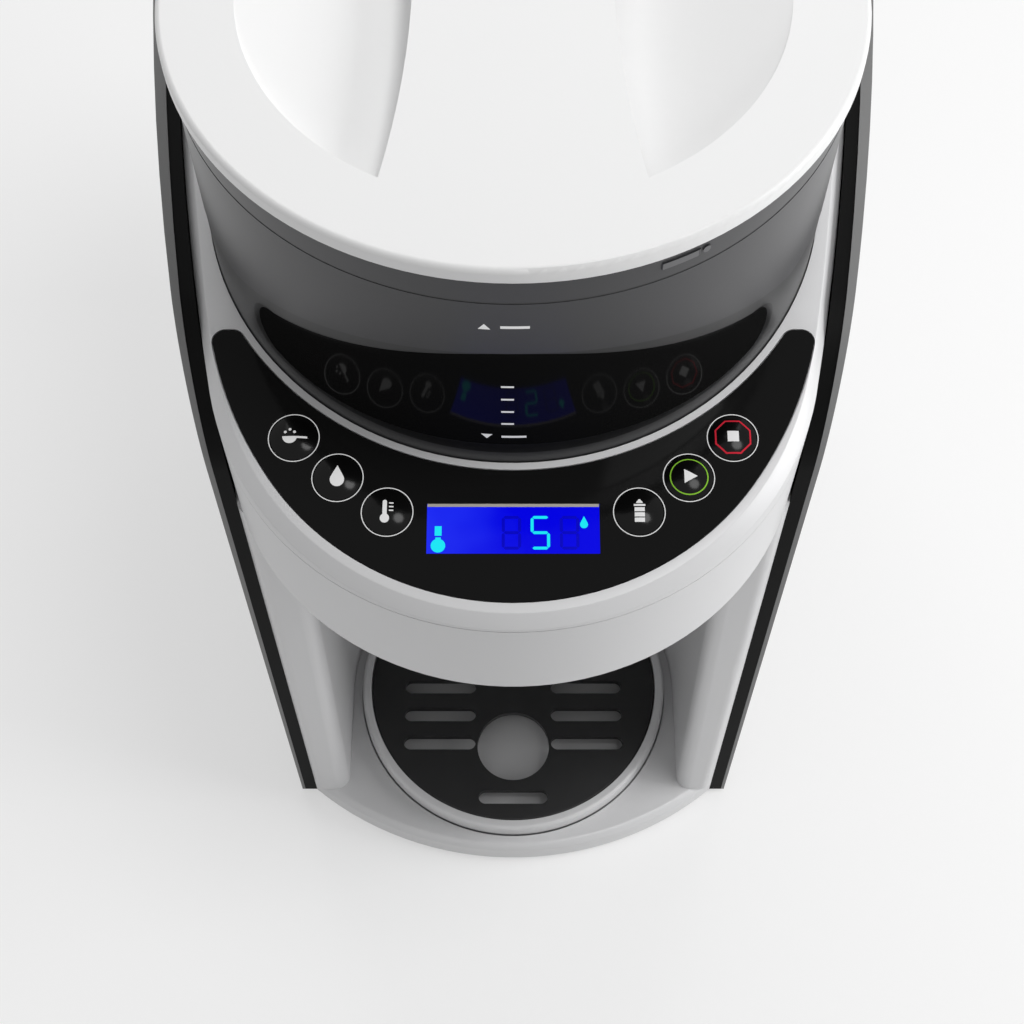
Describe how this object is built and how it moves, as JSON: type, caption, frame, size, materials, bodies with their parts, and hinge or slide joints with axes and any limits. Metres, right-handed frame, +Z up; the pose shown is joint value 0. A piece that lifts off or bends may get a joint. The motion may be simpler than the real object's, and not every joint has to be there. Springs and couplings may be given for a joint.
{
  "type": "baby formula maker",
  "caption": "Countertop baby formula maker: round powder container with twist-off lid, crescent control panel, slide-out funnel, bottle bay with drip tray and lift-out rear water tank.",
  "frame": {"origin": "bottom centre of the overall box, on the table under the feet", "axes": "+Z up, -Y towards the user (front with the control panel), +X to the user's right"},
  "size_m": [0.2322, 0.32, 0.3525],
  "materials": {
    "white_shell": "satin moulded",
    "silver_shell": "silver pearl",
    "grey_shell": "satin moulded",
    "black_gloss": "gloss",
    "black_matte": "fine grain",
    "smoke_clear": "smoked clear",
    "clear": "clear",
    "lcd": "backlit",
    "board": "circuit board",
    "rubber": "moulded",
    "silicone": "translucent silicone",
    "steel": "plain",
    "nylon": "natural nylon",
    "motor": "plated can",
    "aluminium": "cast"
  },
  "bodies": {
    "housing": {"base_shell": "silver_shell", "base_plate": "black_matte", "rubber_feet": "rubber", "base_screws": "steel", "column_housing": "silver_shell", "rear_casing": "grey_shell", "side_trims": "black_matte", "front_band": "white_shell", "head_floor": "black_matte", "head_shell": "silver_shell", "container_pocket": "black_matte", "control_overlay": "black_gloss", "display_lens": "clear", "display_module": "lcd", "control_board": "board", "board_posts": "nylon", "tact_switches": "nylon", "spindle_bush": "nylon", "drive_bracket": "nylon", "gear_motor": "motor", "powder_chute": "nylon", "water_nozzle": "nylon", "tank_shelf": "black_matte", "inlet_cup": "black_matte", "water_pump": "motor", "pump_hose": "silicone", "heater_block": "aluminium", "power_board": "board", "power_inlet": "black_matte", "switch_frame": "black_matte"},
    "container": {"powder_container": "smoke_clear", "container_skirt": "black_matte", "window_panel": "black_gloss", "container_floor": "nylon", "container_collar": "black_matte", "powder_scraper": "nylon"},
    "lid": {"container_lid": "white_shell", "lid_seal": "silicone"},
    "rotor": {"powder_wheel": "nylon", "stirrer": "nylon", "drive_spindle": "steel", "drive_gear": "nylon"},
    "pinion": {"motor_pinion": "nylon"},
    "funnel_drawer": {"funnel_holder": "nylon", "funnel": "nylon"},
    "tray": {"drip_tray": "silver_shell"},
    "grid": {"drip_grid": "black_matte"},
    "tank": {"water_tank": "smoke_clear", "tank_bridge": "black_matte", "tank_pin": "steel", "tank_valve": "silicone"},
    "tank_flap": {"tank_lid": "smoke_clear"},
    "rocker": {"power_rocker": "black_matte"},
    "powder_key": {"powder_button": "black_gloss"},
    "water_key": {"water_button": "black_gloss"},
    "temperature_key": {"temperature_button": "black_gloss"},
    "volume_key": {"volume_button": "black_gloss"},
    "start_key": {"start_button": "black_gloss"},
    "stop_key": {"stop_button": "black_gloss"}
  },
  "joints": [
    {"name": "powder_press", "type": "slide", "parent": "housing", "child": "powder_key", "axis": [0, 0.1374, -0.9905], "range_m": [0, 0.0008], "stiffness_N_per_m": 600},
    {"name": "water_press", "type": "slide", "parent": "housing", "child": "water_key", "axis": [0, 0.1374, -0.9905], "range_m": [0, 0.0008], "stiffness_N_per_m": 600},
    {"name": "temperature_press", "type": "slide", "parent": "housing", "child": "temperature_key", "axis": [0, 0.1374, -0.9905], "range_m": [0, 0.0008], "stiffness_N_per_m": 600},
    {"name": "volume_press", "type": "slide", "parent": "housing", "child": "volume_key", "axis": [0, 0.1374, -0.9905], "range_m": [0, 0.0008], "stiffness_N_per_m": 600},
    {"name": "start_press", "type": "slide", "parent": "housing", "child": "start_key", "axis": [0, 0.1374, -0.9905], "range_m": [0, 0.0008], "stiffness_N_per_m": 600},
    {"name": "stop_press", "type": "slide", "parent": "housing", "child": "stop_key", "axis": [0, 0.1374, -0.9905], "range_m": [0, 0.0008], "stiffness_N_per_m": 600},
    {"name": "container_twist", "type": "hinge", "parent": "housing", "child": "container", "pos_m": [0, -0.022, 0.3], "axis": [0, 0, 1], "range_deg": [0, 20]},
    {"name": "lid_twist", "type": "hinge", "parent": "container", "child": "lid", "pos_m": [0, -0.022, 0.35], "axis": [0, 0, 1], "range_deg": [0, 40]},
    {"name": "rotor_spin", "type": "hinge", "parent": "housing", "child": "rotor", "pos_m": [0, -0.022, 0.23], "axis": [0, 0, 1], "continuous": true},
    {"name": "pinion_spin", "type": "hinge", "parent": "housing", "child": "pinion", "pos_m": [0, 0.023, 0.23], "axis": [0, 0, 1], "continuous": true},
    {"name": "funnel_slide", "type": "slide", "parent": "housing", "child": "funnel_drawer", "axis": [0, -1, 0], "range_m": [0, 0.095]},
    {"name": "tray_lift", "type": "slide", "parent": "housing", "child": "tray", "axis": [0, 0, 1], "range_m": [0, 0.05]},
    {"name": "grid_lift", "type": "slide", "parent": "tray", "child": "grid", "axis": [0, 0, 1], "range_m": [0, 0.03]},
    {"name": "tank_lift", "type": "slide", "parent": "housing", "child": "tank", "axis": [0, 0, 1], "range_m": [0, 0.2]},
    {"name": "tank_lid_hinge", "type": "hinge", "parent": "tank", "child": "tank_flap", "pos_m": [0, 0.146, 0.3434], "axis": [-1, 0, 0], "range_deg": [0, 95]},
    {"name": "rocker_tilt", "type": "hinge", "parent": "housing", "child": "rocker", "pos_m": [-0.056, 0.1548, 0.042], "axis": [1, 0, 0], "range_deg": [0, 14]}
  ],
  "couplings": [
    {"joint": "pinion_spin", "follows": "rotor_spin", "ratio": -4}
  ]
}
